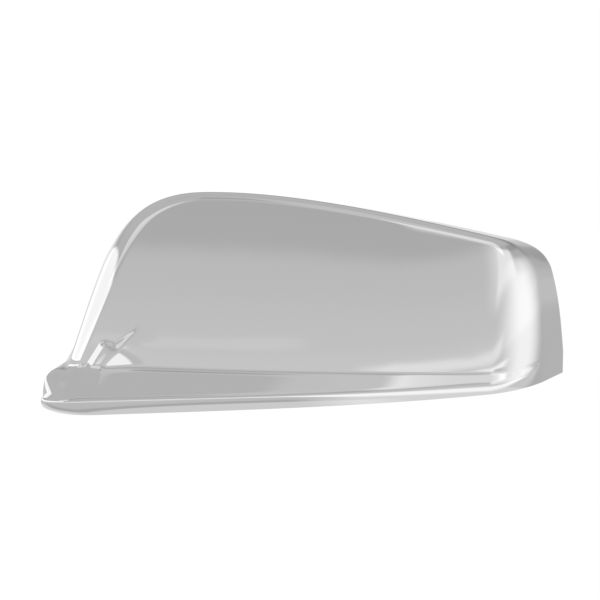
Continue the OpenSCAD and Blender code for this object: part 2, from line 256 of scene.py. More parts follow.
def face_edge(u, corner, inward):
    """Where the rounded edge meets the face: a leg inward from the corner, then a near-upright cubic."""
    handles = arch_handles(np.array(TOP))
    t = unit(cubic_slope(handles, 1.0))
    top = handles[3] + EDGE_LEG[3] * np.array([t[1], -t[0]])
    foot = np.array([FACE_END_X, ARCH[-1, 1]])
    past_corner = END_SHARE + (1 - END_SHARE) * (u - CORNER)
    f = np.where(u < CORNER, END_SHARE * (u - TOP_END), past_corner)[:, None]
    above_foot = foot + np.array([0.0, END_REACHES[1]])
    end = cubic([top, top + END_REACHES[0] * t, above_foot, foot], np.clip(f, 0, 1))
    return np.where(u[:, None] <= TOP_END, corner + edge_leg(u)[:, None] * inward, end)


print("stations on a coarse arch:", len(stations((2, 2, 2, 2, 2))[0]))

# %% [markdown]
# ## How the wall changes along the arch
# The wall leans differently on each side: slightly outward inboard, down towards the back along the top,
# and in a wide flare outboard. Each lean is eased in or out over a stretch of the arch, so that there is
# no place where one ends and the next begins. Each row below is one place across the wall, from the back
# rim to the face.

# %% The wall and its rounded edge
SIDE_GIVES_WAY, FLARE_COMES, FALL_GOES = (0.6, 1.2), (2.2, 1.9), (3.2, 1.8)
LIFT_GOES, EDGE_OPENS = (0.0, 0.8), (2.9, 1.1)
EDGE_WEIGHTS, SLOPE_STEP = (0.8, 0.85), 0.01


def after(u, change):
    """0 before a change along the arch, 1 after it; a change is where it starts and how long it takes."""
    return ease((u - change[0]) / change[1])


def arch_wall(skin, places, wall_rows, edge_rows):
    """Rows from the back rim to the face: a straight wall, then a conic. skin is how far inside it lies."""
    k, s = places
    u, handles = k + s, arch_handles(k)
    corner, t = cubic(handles, s[:, None]), unit(cubic_slope(handles, s[:, None]))
    inward = unit(mix(np.array([1.0, 0.0]), np.stack([t[:, 1], -t[:, 0]], 1), ease(u)[:, None]))
    edge, e = face_edge(u, corner, inward), SLOPE_STEP
    x, z = edge[:, 0], edge[:, 1]
    gx = (face_depth(x + e, z) - face_depth(x - e, z)) / (2 * e)
    gz = (face_depth(x, z + e) - face_depth(x, z - e)) / (2 * e)
    depth = face_depth(x, z)
    corner_y = depth + gx * (corner[:, 0] - x) + gz * (corner[:, 1] - z)
    inner = corner + skin * inward
    inner_y = corner_y + skin * (1 + gx * inward[:, 0] + gz * inward[:, 1])
    run = np.stack([
        -SIDE_DRAFT * (1 - after(u, SIDE_GIVES_WAY)) + END_FLARE * after(u, FLARE_COMES),
        -TOP_FALL * after(u, SIDE_GIVES_WAY) * (1 - after(u, FALL_GOES)),
    ], 1) + FOOT_LIFT * (1 - after(u, LIFT_GOES))[:, None] * t
    turn = after(u, EDGE_OPENS)
    leg = mix(edge_leg(u), (BACK_Y - corner_y) / 2, turn)
    start_y = corner_y + leg
    start = inner + leg[:, None] * run
    rim = inner + (BACK_Y - corner_y)[:, None] * run
    f = np.linspace(0, 1, wall_rows + 1)[:, None]
    flat = mix(rim, start, f[..., None])
    straight = np.stack([flat[..., 0], mix(BACK_Y, start_y, f), flat[..., 1]], -1)
    f = (np.arange(1, edge_rows + 1) / edge_rows)[:, None, None]
    a = np.stack([start[:, 0], start_y, start[:, 1]], 1)
    b = np.stack([inner[:, 0], inner_y, inner[:, 1]], 1)
    c = np.stack([x, depth + skin, z], 1)
    rounded = conic(a, b, c, mix(*EDGE_WEIGHTS, turn)[None, :, None], f)
    return np.concatenate([straight, rounded]), np.interp(u, *SHARE)


trial, _ = arch_wall(0.0, stations((4, 4, 8, 4, 4)), 3, 5)
print("coarse wall rows and stations:", trial.shape[:2])

# %% [markdown]
# ## The face as a grid
# The space between the rounded edge and the ledge is filled by straight columns as seen from the front.
# Each point of a column is then laid on the face by the depth above. A plate could also be subdivided and
# bent, but a grid on a formula has no ripples, and chrome shows every ripple. The rows lie closer
# together near the ledge.

# %% The face between edge and ledge
ROW_CROWDING = 1.3


def front_face(skin, wall, part, rows):
    """Columns from the foot line to the edge of the face, each point (x, z) given the depth of the face."""
    edge, foot_x = wall[-1], mix(FOOT_X0, FACE_END_X, part)
    low = foot_z(foot_x) + mix(FILLET_LEFT, FILLET_RIGHT, ease(part))
    f = np.linspace(0, 1, rows + 1)[:, None] ** ROW_CROWDING
    x, z = mix(foot_x, edge[:, 0], f), mix(low, edge[:, 2], f)
    return np.stack([x, face_depth(x, z) + skin, z], -1)


print("the foot of the face starts at x", round(float(FOOT_X0), 1))

# %% [markdown]
# ## The ledge
# Below the face the cap steps out into a ledge: a hollow fillet, a slope, a crisp crease and a lip that
# tucks under to the rim. It is wide at the inboard nose and dies away outboard. The profile is carried
# along a chain that runs up the inboard wall, along the foot of the face and back along the outboard
# wall. The crease and the rim have their own plan curve, which gives the nose its rounded point.

# %% Plan of the crease and the rim
NOSE_WEIGHT, END_CLOSES = 0.75, 1.4


def ring(offset, inset, wall, sharp, part, wall_rows, edge_rows):
    """Plan curve set in by offset, and by inset more at the nose.

    It is a straight flank, a conic nose, a cubic front, and then the outboard wall, where the gap to that
    wall is eased away.
    """
    half, x0 = HALF_W - (offset + inset), NOSE_ROUND[0] - HALF_W
    length = FACE_END_X - x0
    nose_x, nose_y = (NOSE_ROUND[i] + RIM_TUCK[i] * inset for i in (0, 1))
    x = mix(nose_x - half, FACE_END_X, part)
    front = np.stack([x, cubic(LEDGE_Y, (x - x0) / length) + offset + inset * (1 - part)], 1)
    slope = cubic_slope(LEDGE_Y, (x[0] - x0) / length) / length - inset / (FACE_END_X - x[0])
    corner = np.array([-half, front[0, 1] - slope * nose_x])
    turn = corner + np.array([0.0, nose_y])
    y = wall[: wall_rows + 1, 0, 1]
    f = (BACK_Y - y) / (BACK_Y - y[-1])
    flank = np.stack([-half + SIDE_TAPER * ease(1 - f), mix(BACK_Y, turn[1], f)], 1)
    nose = conic(turn, corner, front[0], NOSE_WEIGHT, (np.arange(1, edge_rows) / edge_rows)[:, None])
    n = wall_rows + edge_rows
    gap = front[-1] - sharp[-n - 1, :2]
    end = sharp[-n:, :2] + gap * (1 - ease(END_CLOSES * np.arange(1, n + 1) / n))[:, None]
    return np.concatenate([flank, nose, front, end])


print("the nose is rounded over", NOSE_ROUND, "mm")

# %% Height of the crease, and depth of the inner skin
END_RISES, NARROW = 1.3, 0.5


def upward(height):
    """Steps straight up, by that height for each point."""
    return np.stack([0 * height, 0 * height, height], 1)


def crease_height(part, wall_rows, edge_rows):
    """Level along the flank, eased into the nose, a cubic along the front, and eased up to the end."""
    n = wall_rows + edge_rows
    return np.concatenate([
        np.full(wall_rows, CREASE_SIDE_Z),
        mix(CREASE_SIDE_Z, CREASE_Z[0], ease(np.arange(edge_rows) / edge_rows)),
        cubic(CREASE_Z, part),
        mix(CREASE_Z[3], CREASE_END_Z, ease(END_RISES * np.arange(1, n + 1) / n)),
    ])


def sunk(skin, wide, tall):
    """Step in height that puts a slope of that width and fall skin deeper; none where it is narrow."""
    slant, safe = np.hypot(wide, tall), np.maximum(wide, NARROW)
    step = -skin * wide / slant - skin * tall * (tall - slant) / (safe * slant)
    return np.where(wide < NARROW, 0.0, step)


print("a level ledge is sunk by", abs(float(sunk(WALL, 10.0, 0.0))), "mm")

# %% The ledge, carried along its chain
FILLET_REACH, CREASE_SOFT, LIP_SOFT, SOFT_SHARE = 1.1, 1.6, 1.3, 0.3
BULGE_FADE, TUCK_INSET, TUCK_HEIGHT = 20.0, 0.2, 0.35


def ledge(skin, wall, face, part, wall_rows, edge_rows, counts):
    """Fillet, slope, crease and lip, each a conic, between the chain and the rim.

    sharp is where face and slope would meet without the fillet. belly holds the slope out at the nose, and
    tuck turns the lip under.
    """
    n, m = wall_rows + edge_rows, face.shape[1] - 1
    chain = np.concatenate([wall[:-1, 0], face[0], wall[-2::-1, -1]])
    fillet = mix(FILLET_LEFT, FILLET_RIGHT, ease(np.concatenate([np.zeros(n), part, np.ones(n)])))
    sharp = chain - upward(fillet)
    foot = sharp[n : n + m + 1]
    foot[:, 1] = face_depth(foot[:, 0], foot[:, 2]) + skin
    rows = (wall, sharp, part, wall_rows, edge_rows)
    crease_xy, height = ring(skin, 0.0, *rows), crease_height(part, wall_rows, edge_rows)
    wide, tall = np.linalg.norm(sharp[:, :2] - crease_xy, axis=1), sharp[:, 2] - height
    shift = sunk(skin, wide, tall)
    sharp = sharp + upward(shift)
    crease = np.column_stack([crease_xy, height + shift])
    down, slant = unit(crease - sharp), np.hypot(wide, tall)
    slope_a = sharp + np.minimum(FILLET_REACH * fillet, SOFT_SHARE * slant)[:, None] * down
    slope_b = crease - np.minimum(CREASE_SOFT, SOFT_SHARE * slant)[:, None] * down
    lip_a = crease - upward(np.minimum(LIP_SOFT, SOFT_SHARE * crease[:, 2]))
    behind = (wall[:wall_rows, 0, 1] - wall[wall_rows, 0, 1]) / BULGE_FADE
    round_nose = np.arange(edge_rows) / edge_rows
    fade = np.concatenate([1 - ease(behind), 1 - ease(round_nose), np.zeros(m + 1 + n)])
    safe = np.maximum(wide, NARROW)
    out = np.where(wide[:, None] < NARROW, 0.0, (crease[:, :2] - sharp[:, :2]) / safe[:, None])
    fullness = NOSE_BULGE * fade[:, None] * np.column_stack([out * tall[:, None], wide])
    belly = (slope_a + slope_b) / 2 + fullness
    tuck = np.column_stack([ring(skin, TUCK_INSET * RIM_INSET, *rows), TUCK_HEIGHT * crease[:, 2]])
    rim = np.column_stack([ring(skin, RIM_INSET, *rows), 0 * shift])
    made = [chain[None]]
    for count, (a, b, c, w) in zip(counts, [
        (chain, sharp, slope_a, 1.0), (slope_a, belly, slope_b, 1.0), (slope_b, crease, lip_a, 1.0),
        (lip_a, tuck, rim, LIP_TIGHT),
    ]):
        made.append(conic(a, b, c, w, (np.arange(1, count + 1) / count)[:, None, None]))
    return np.concatenate(made)


print("the lip tucks under by", RIM_INSET, "mm at the nose")

# %% [markdown]
# ## One closed shell
# The outer skin and the inner skin are made by the same functions, the inner one 2.5 mm deeper. They
# share their numbering, so that the rim can join them point to point. A solidify modifier could give the
# wall its thickness too, but it would tilt the lower rim, which has to lie flat on the floor.

# %% One skin: wall, face and ledge share their edges
STEPS, WALL_ROWS, EDGE_ROWS, FACE_ROWS, LEDGE_ROWS = (40, 44, 110, 40, 36), 8, 22, 56, (8, 10, 9, 9)


def numbered(points, first):
    """A grid of vertex numbers for a grid of points, counted from first."""
    return first + np.arange(points[..., 0].size).reshape(points.shape[:2])


def quads(ids):
    """The four corners of each cell of a grid of vertex numbers."""
    return np.stack([ids[:-1, :-1], ids[:-1, 1:], ids[1:, 1:], ids[1:, :-1]], -1).reshape(-1, 4)


def skin(depth):
    """Vertices in mm, cells, the loop of the opening, and the inner neighbour of each point of the loop."""
    wall, part = arch_wall(depth, stations(STEPS), WALL_ROWS, EDGE_ROWS)
    face = front_face(depth, wall, part, FACE_ROWS)
    face[:, 0], face[:, -1] = wall[-1, 0], wall[-1, -1]
    shelf = ledge(depth, wall, face, part, WALL_ROWS, EDGE_ROWS, LEDGE_ROWS)
    middle, lower = face[:-1, 1:-1], shelf[1:]
    wall_ids = numbered(wall, 0)
    face_ids = numbered(middle, wall_ids.size)
    shelf_ids = numbered(lower, wall_ids.size + face_ids.size)
    ends = [np.full((FACE_ROWS, 1), wall_ids[-1, i]) for i in (0, -1)]
    face_ids = np.vstack([np.hstack([ends[0], face_ids, ends[1]]), wall_ids[-1]])
    chain_ids = np.concatenate([wall_ids[:-1, 0], face_ids[0], wall_ids[-2::-1, -1]])
    shelf_ids = np.vstack([chain_ids, shelf_ids])
    points = np.concatenate([grid.reshape(-1, 3) for grid in (wall, middle, lower)])
    cells = np.concatenate([quads(wall_ids)[:, ::-1], quads(face_ids), quads(shelf_ids)[:, ::-1]])
    loop = np.concatenate([wall_ids[0], shelf_ids[1:, -1], shelf_ids[-1, -2::-1], shelf_ids[-2:0:-1, 0]])
    near = np.concatenate([
        wall_ids[1], shelf_ids[1:-1, -2], shelf_ids[-2, -2:-1], shelf_ids[-2, -2:0:-1], shelf_ids[-2, 1:2],
        shelf_ids[-2:0:-1, 1],
    ])
    return points, cells, loop, near


outer, cells, loop, near = skin(0.0)
inner = skin(WALL)[0]
print("each skin has", len(outer), "points, and the opening has", len(loop))

# %% [markdown]
# ## The rim
# The rim runs along the back edge and under the lip. It is never sharp on a plated part, because the
# chrome builds up over its corners. So both corners are rounded to half a millimetre, each by a conic
# that starts inside its skin. A bevel modifier could do that too, but the loop is known here, and so
# nothing else is touched.

# %% Join the skins with a rounded rim
RIM_ROUND, RIM_WEIGHT, RIM_ROWS = 0.5, 0.75, 5


def rim_rows(radius, count):
    """Rows across the rim: a conic over the outer corner, the flat, a conic over the inner corner."""
    o, i = outer[loop], inner[loop]
    across = unit(i - o)
    o_in = o + radius * unit(outer[near] - o)
    i_in = i + radius * unit(inner[near] - i)
    t = np.linspace(0, 1, count)[:, None, None]
    over_outer = conic(o_in, o, o + radius * across, RIM_WEIGHT, t)
    over_inner = conic(i - radius * across, i, i_in, RIM_WEIGHT, t)
    return np.concatenate([over_outer, over_inner])


rows = rim_rows(RIM_ROUND, RIM_ROWS)
outer[loop], inner[loop] = rows[0], rows[-1]
rim_ids = np.vstack([loop, numbered(rows[1:-1], 2 * len(outer)), loop + len(outer)])
rim_ids = np.hstack([rim_ids, rim_ids[:, :1]])
shell_points = np.concatenate([outer, inner, rows[1:-1].reshape(-1, 3)]) / MM_PER_M
shell_cells = np.concatenate([cells, cells[:, ::-1] + len(outer), quads(rim_ids)])
shell_inside = np.zeros(len(shell_cells), int)
shell_inside[len(cells) : 2 * len(cells)] = 1
print("the closed shell has", len(shell_cells), "cells")

# %% [markdown]
# ## From numbers to a piece
# Every piece is made the same way: points and cells go straight into a mesh, all faces are smooth, and
# the piece rides on the one body. The shell takes the place of the solid model's node. Its inner skin has
# the second material slot, because the inside of the cap has a duller finish.

# %% Turn points and cells into a Blender piece
def piece(name, points, faces, inside=None):
    """A smooth closed mesh object that rides on the cover; cells whose corners meet become triangles."""
    mesh = bpy.data.meshes.new(name)
    faces = [[v for n, v in enumerate(f) if v != f[n - 1]] for f in faces]
    mesh.from_pydata(np.asarray(points, float), [], faces)
    mesh.polygons.foreach_set("use_smooth", np.ones(len(mesh.polygons), bool))
    if inside is not None:
        mesh.polygons.foreach_set("material_index", inside)
    mesh.update()
    made = bpy.data.objects.new(name, mesh)
    bpy.context.scene.collection.objects.link(made)
    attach(made, "root")
    return made


cover = piece("cover_shell", shell_points, shell_cells.tolist(), inside=shell_inside)
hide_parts("mirror_cover")
print("cover_shell has", len(cover.data.polygons), "faces")

# %% [markdown]
# ## Inside the cap
# The cap is held by two locating pins, each on a round boss braced by four fins, by four ribs that follow
# the wall and by three snap hooks under the top edge. They are moulded with the shell, so each one is
# rooted in the middle of the wall. The same sizes as in the solid model are used. Plates are cut from an
# outline and their edges are rounded, as a mould leaves them. Pins are turned.

# %% Plates with rounded edges
PLATE_ROUND, BEVEL_STEPS, BEVEL_ANGLE = 0.25, 2, 0.6
X_AXIS, Z_AXIS = 0, 2


def plate(name, outline, thick, axis, at, round_by=PLATE_ROUND):
    """An outline in the plane across the axis, given a thickness about the place at, its edges rounded."""
    n, flat = len(outline), np.asarray(outline, float)
    area = np.sum(flat[:, 0] * np.roll(flat[:, 1], -1) - np.roll(flat[:, 0], -1) * flat[:, 1])
    flat = flat if area > 0 else flat[::-1]
    low, high = np.full(n, at - thick / 2), np.full(n, at + thick / 2)
    points = np.stack([np.concatenate([low, high]), np.tile(flat[:, 0], 2), np.tile(flat[:, 1], 2)], 1)
    points = points if axis == X_AXIS else points[:, [1, 2, 0]]
    around = np.arange(n)
    sides = np.stack([around, np.roll(around, -1), np.roll(around, -1) + n, around + n], 1)
    caps = [around[::-1].tolist(), (around + n).tolist()]
    made = piece(name, points / MM_PER_M, sides.tolist() + caps)
    bevel = made.modifiers.new("rounded_edges", "BEVEL")
    bevel.width, bevel.segments = round_by / MM_PER_M, BEVEL_STEPS
    bevel.limit_method, bevel.angle_limit = "ANGLE", BEVEL_ANGLE
    bevel.harden_normals = True
    return made


print("plate edges are rounded to", PLATE_ROUND, "mm")

# %% Turned parts
TURNED_STEPS = 48


def turned(name, place, profile, root=None):
    """A profile of (radius, depth) turned about the pin's axis; the first ring may follow root(x, z)."""
    angle = np.arange(TURNED_STEPS) * 2 * np.pi / TURNED_STEPS
    r, y = np.array(profile).T
    x, z = place[0] + r[:, None] * np.cos(angle), place[1] + r[:, None] * np.sin(angle)
    depth = np.repeat(y[:, None], TURNED_STEPS, 1)
    if root is not None:
        depth[0] = root(x[0], z[0])
    points = np.stack([x, depth, z], -1)
    ids = numbered(points, 0)
    ids = np.hstack([ids, ids[:, :1]])
    caps = [ids[0, :-1].tolist(), ids[-1, -2::-1].tolist()]
    return piece(name, points.reshape(-1, 3) / MM_PER_M, quads(ids)[:, ::-1].tolist() + caps)


def mid_face(x, z):
    """Depth of the middle of the wall behind the face."""
    return face_depth(x, z) + WALL / 2


print("a turned part has", TURNED_STEPS, "sides")

# %% [markdown]
# ## Pins, bosses and fins
# A pin locates the cap in the mirror housing. It stands on a boss that is thick enough to carry it, and
# four thin fins brace the boss without leaving a sink mark in the face. The fins are two crossed plates.
# The end of each pin has a chamfer that finds its hole.

# %% Pins on their bosses, with fins
PINS = [(-46.0, 58.0), (48.0, 46.0)]
PIN_R, BOSS_R, BOSS_END_Y, PIN_END_Y, FIN_REACH = 3.0, 5.0, 16.0, 30.0, 13.0
RIB_T, PIN_ROOT, FIN_STEP, FIN_POINTS = 1.6, 8.0, 1.0, 13
# how much narrower an end is, and how far before its tip
BOSS_CHAMFER = [(0.1, 1.0), (0.3, 0.3), (1.0, 0.0)]
PIN_CHAMFER = [(0.0, 1.6), (0.15, 1.1), (0.9, 0.0)]

for side, (px, pz) in zip(("inboard", "outboard"), PINS):
    boss = [(BOSS_R, 0.0)] + [(BOSS_R - less, BOSS_END_Y - before) for less, before in BOSS_CHAMFER]
    turned("boss_" + side, (px, pz), boss, mid_face)
    tip = [(PIN_R - less, PIN_END_Y - before) for less, before in PIN_CHAMFER]
    turned("pin_" + side, (px, pz), [(PIN_R, BOSS_END_Y - PIN_ROOT)] + tip)
    reach = np.linspace(-FIN_REACH, FIN_REACH, FIN_POINTS)
    end, step = BOSS_END_Y - FIN_STEP, BOSS_R - FIN_STEP
    upright = [(mid_face(px, pz + r), pz + r) for r in reach] + [(end, pz + step), (end, pz - step)]
    level = [(px + r, mid_face(px + r, pz)) for r in reach] + [(px + step, end), (px - step, end)]
    plate("fin_upright_" + side, upright, RIB_T, X_AXIS, px)
    plate("fin_level_" + side, level, RIB_T, Z_AXIS, pz)
print(len(PINS), "pins on their bosses, with", 4 * len(PINS), "fins")

# %% [markdown]
# ## Ribs and snap hooks
# A rib follows the middle of the wall from under the top edge down behind the face, so it keeps the long
# face from bowing. A hook hangs from the top wall, and its catch snaps behind the housing. Both stand at
# stations along the top edge of the arch, so they take their places from the wall itself.

# %% Where the ribs and hooks stand
RIB_DEPTH, RIB_FOOT_Z, RIB_STEPS = 8.0, 34.0, 10
TOP_STEPS, RIB_PLACES, HOOK_PLACES = 26, [3, 10, 17, 23], [6, 13, 20]
MID_WALL_ROWS, MID_EDGE_ROWS = 3, 12
HOOK_W, HOOK_L, HOOK_Y, HOOK_T, HOOK_ROUND = 12.0, 12.0, 38.0, 2.2, 0.35
CATCH_TOP, CATCH_REACH, CATCH_EDGE, TIP_REACH = 5.0, 2.4, 3.6, 0.4

along_top = np.array(RIB_PLACES + HOOK_PLACES) / TOP_STEPS
middle, _ = arch_wall(WALL / 2, (np.full(len(along_top), TOP), along_top), MID_WALL_ROWS, MID_EDGE_ROWS)
print("stations under the top edge at x", np.round(middle[0, :, 0]).tolist())

# %% Cut the ribs and hooks
def mid_top(column, y):
    """Height of the middle of the top wall at depth y, on the straight part of one station."""
    a, b = column[0], column[MID_WALL_ROWS]
    return mix(a[2], b[2], (BACK_Y - y) / (BACK_Y - b[1]))


def rib_outline(column):
    """Down the middle of the wall and of the face, and back up at the rib's depth behind them."""
    x, z0 = column[-1, 0], column[-1, 2]
    top, start = mid_top(column, HOOK_Y), column[MID_WALL_ROWS]
    down = mix(z0, RIB_FOOT_Z, np.linspace(1 / RIB_STEPS, 1, RIB_STEPS))
    back = [(mid_face(x, z) + RIB_DEPTH, z) for z in down[::-1]]
    back[0] = (back[0][0], back[0][1] + RIB_DEPTH)
    outline = [(HOOK_Y, top)] + [(p[1], p[2]) for p in column[MID_WALL_ROWS:]]
    outline += [(mid_face(x, z), z) for z in down] + [p for p in back if p[1] >= back[0][1]]
    return outline + [(start[1] + RIB_DEPTH, start[2] - RIB_DEPTH), (HOOK_Y - RIB_DEPTH, top - RIB_DEPTH)]


def hook_outline(column):
    """A straight tongue that hangs from the top wall, with a catch towards the back near its end."""
    top = mid_top(column, HOOK_Y)
    low = top - HOOK_L
    return [
        (HOOK_Y - HOOK_T, top), (HOOK_Y, top), (HOOK_Y, low + CATCH_TOP),
        (HOOK_Y + CATCH_REACH, low + CATCH_EDGE), (HOOK_Y + TIP_REACH, low), (HOOK_Y - HOOK_T, low),
    ]


columns = np.moveaxis(middle, 1, 0)
for count, column in enumerate(columns[: len(RIB_PLACES)], 1):
    plate(f"rib_{count}", rib_outline(column), RIB_T, X_AXIS, column[-1, 0])
for count, column in enumerate(columns[len(RIB_PLACES) :], 1):
    plate(f"hook_{count}", hook_outline(column), HOOK_W, X_AXIS, column[0, 0], HOOK_ROUND)
print(len(RIB_PLACES), "ribs and", len(HOOK_PLACES), "snap hooks")

# %% [markdown]
# ## Finishes
# Outside, chromium plate: a metal with an almost neutral grey reflectance of about 0.6. The plate follows
# the plastic under it, so it is nearly a mirror, with a faint long wave from the moulding and a trace of
# handling haze. Inside, the same plate lies on plastic that was not polished in the mould. It is duller,
# with a fine even grain. Both are one kind of node tree with different values.

# %% The node tree of a plated finish
HAZE_SCALE, HAZE_DETAIL, HAZE_RANGE = 22.0, 4.0, (0.3, 0.7)
WAVE_DETAIL, GRAIN_DETAIL = 1.0, 3.0


def bumped(tree, noise, height, under):
    """A bump of that height in metres from a noise, laid over the bump under it."""
    bump = tree.nodes.new("ShaderNodeBump")
    bump.inputs["Strength"].default_value = 1.0
    bump.inputs["Distance"].default_value = height
    tree.links.new(noise.outputs["Fac"], bump.inputs["Height"])
    if under is not None:
        tree.links.new(under.outputs["Normal"], bump.inputs["Normal"])
    return bump


def finish_nodes(name, colour, roughness, spread, wave, grain):
    """Metal whose roughness drifts over a slow noise; wave and grain are the scale and height of a bump."""
    material = bpy.data.materials.new(name)
    material.use_nodes = True
    tree = material.node_tree
    shader = tree.nodes["Principled BSDF"]
    shader.inputs["Base Color"].default_value = (*colour, 1.0)
    shader.inputs["Metallic"].default_value = 1.0
    where = tree.nodes.new("ShaderNodeTexCoord").outputs["Object"]
    haze, slow, fine = (tree.nodes.new("ShaderNodeTexNoise") for _ in range(3))
    scales = ((haze, HAZE_SCALE, HAZE_DETAIL), (slow, wave[0], WAVE_DETAIL), (fine, grain[0], GRAIN_DETAIL))
    for node, scale, detail in scales:
        node.inputs["Scale"].default_value = scale
        node.inputs["Detail"].default_value = detail
        tree.links.new(where, node.inputs["Vector"])
    drift = tree.nodes.new("ShaderNodeMapRange")
    drift.inputs["From Min"].default_value, drift.inputs["From Max"].default_value = HAZE_RANGE
    drift.inputs["To Min"].default_value = roughness - spread
    drift.inputs["To Max"].default_value = roughness + spread
    tree.links.new(haze.outputs["Fac"], drift.inputs["Value"])
    tree.links.new(drift.outputs["Result"], shader.inputs["Roughness"])
    bump = bumped(tree, fine, grain[1], bumped(tree, slow, wave[1], None))
    tree.links.new(bump.outputs["Normal"], shader.inputs["Normal"])
    return material


print("one node tree with three noises: haze, wave and grain")

# %% The two finishes
chrome = finish_nodes(
    "bright_chrome", colour=(0.602, 0.602, 0.603), roughness=0.05, spread=0.015,
    wave=(45.0, 0.00006), grain=(2500.0, 0.0000004))
dull_chrome = finish_nodes(
    "moulded_chrome", colour=(0.52, 0.525, 0.535), roughness=0.34, spread=0.05,
    wave=(60.0, 0.0002), grain=(1400.0, 0.00004))
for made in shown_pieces():
    if made.type == "MESH" and made.name.startswith(("boss", "pin", "fin", "rib", "hook")):
        made.data.materials.append(dull_chrome)
for finish in (chrome, dull_chrome):
    cover.data.materials.append(finish)
print("finishes:", chrome.name, "and", dull_chrome.name)

# %% [markdown]
# ## Studio
# A chrome part is lit by what it mirrors. The photograph's tones, read back along the mirrored
# directions, are those of a white light tent over a white floor. The tent could be built from sheets and
# lamps. Here it is a sky worked out from the direction alone, because each panel can then be put just
# where the chrome mirrors it. Such a sky is a sum of soft windows, and these helpers put the sums into a
# node tree.

# %% Sums for a node tree
def computed(tree, operation, *values):
    """One math node; a value is either a number or another node's output."""
    node = tree.nodes.new("ShaderNodeMath")
    node.operation = operation
    for socket, value in zip(node.inputs, values):
        if isinstance(value, (int, float)):
            socket.default_value = value
        else:
            tree.links.new(value, socket)
    return node.outputs[0]


def chained(tree, operation, values):
    """The operation carried along the values from first to last."""
    result = values[0]
    for value in values[1:]:
        result = computed(tree, operation, result, value)
    return result


def total(tree, *values):
    """The values added up."""
    return chained(tree, "ADD", values)


def product(tree, *values):
    """The values multiplied together."""
    return chained(tree, "MULTIPLY", values)


def flipped(tree, value):
    """1 less the value."""
    return computed(tree, "SUBTRACT", 1.0, value)


def step_up(tree, value, low, high):
    """0 below low, 1 above high, smooth between."""
    node = tree.nodes.new("ShaderNodeMapRange")
    node.interpolation_type = "SMOOTHSTEP"
    tree.links.new(value, node.inputs["Value"])
    node.inputs["From Min"].default_value, node.inputs["From Max"].default_value = low, high
    return node.outputs["Result"]


def window(tree, value, low, high, soft):
    """1 between low and high, fading to 0 over soft on each side."""
    begun, over = step_up(tree, value, low - soft, low), step_up(tree, value, high, high + soft)
    return computed(tree, "SUBTRACT", begun, over)


def bearing(tree, x, y):
    """Degrees round from the front, -Y, towards +X."""
    return computed(tree, "DEGREES", computed(tree, "ARCTAN2", x, computed(tree, "MULTIPLY", y, -1.0)))


GLOW_GROWS, GLOW_ENDS, GLOW_LOSS, GLOW_GAIN = (54.0, 92.0), (99.0, 125.0), 0.97, 0.66


def right_glow(tree, angle):
    """The low panel on the right: it grows from the front, is full abreast of the part and ends behind."""
    left_over = flipped(tree, product(tree, step_up(tree, angle, *GLOW_ENDS), GLOW_LOSS))
    return product(tree, step_up(tree, angle, *GLOW_GROWS), left_over, GLOW_GAIN)


print("the glow on the right is full from", GLOW_GROWS[1], "to", GLOW_ENDS[0], "degrees round")

# %% [markdown]
# ## The wall of the tent
# The wall has one tone for each height. It is brightest at the horizon and darkest from about 20 to 30
# degrees up. On the right the heights are stretched, so that the darker band comes lower there. The low
# glow on the right is part of the wall too, and the floor carries it on.

# %% The wall of the tent
NADIR, HALF_TURN = -90.0, 180.0
WALL_TONES = [
    # height in degrees, and tone
    (NADIR, 0.80), (-5, 0.80), (0, 0.92), (5, 0.87), (17.5, 0.81), (22, 0.67),
    (28, 0.66), (36, 0.73), (50, 0.75), (66, 0.75), (78, 0.73), (90, 0.73),
]
STRETCHED, STRETCH, GLOW_TOP = (50.0, 90.0, 50.0), 0.32, (3.5, 10.0)
world = bpy.data.worlds.new("light_tent")
bpy.context.scene.world = world
world.use_nodes = True
sky = world.node_tree
split = sky.nodes.new("ShaderNodeSeparateXYZ")
sky.links.new(sky.nodes.new("ShaderNodeTexCoord").outputs["Generated"], split.inputs[0])
sx, sy, sz = split.outputs
across = bearing(sky, sx, sy)
up = computed(sky, "DEGREES", computed(sky, "ARCSINE", sz))
ramp = sky.nodes.new("ShaderNodeValToRGB")
ramp.color_ramp.interpolation = "EASE"
while len(ramp.color_ramp.elements) < len(WALL_TONES):
    ramp.color_ramp.elements.new(0.5)
for element, (height, tone) in zip(ramp.color_ramp.elements, WALL_TONES):
    element.position, element.color = (height - NADIR) / HALF_TURN, (tone, tone, tone, 1.0)
stretched = product(sky, up, total(sky, 1.0, product(sky, window(sky, across, *STRETCHED), STRETCH)))
over_nadir = computed(sky, "SUBTRACT", stretched, NADIR)
sky.links.new(computed(sky, "DIVIDE", over_nadir, HALF_TURN), ramp.inputs[0])
low_glow = product(sky, right_glow(sky, across), flipped(sky, step_up(sky, up, *GLOW_TOP)))
print("tent wall tones at", len(WALL_TONES), "heights")

# %% [markdown]
# ## Panels
# Most panels are plain windows of bearing and height. Two of them take light away, because the photograph
# has soft darker patches too. Two panels have a form of their own. One on the right has a sloping lower
# edge. The long one on the left is a flat upright sheet, so its long edges are straight lines in space
# and bend in the chrome as a real sheet's do. Behind the part the tent is darker.

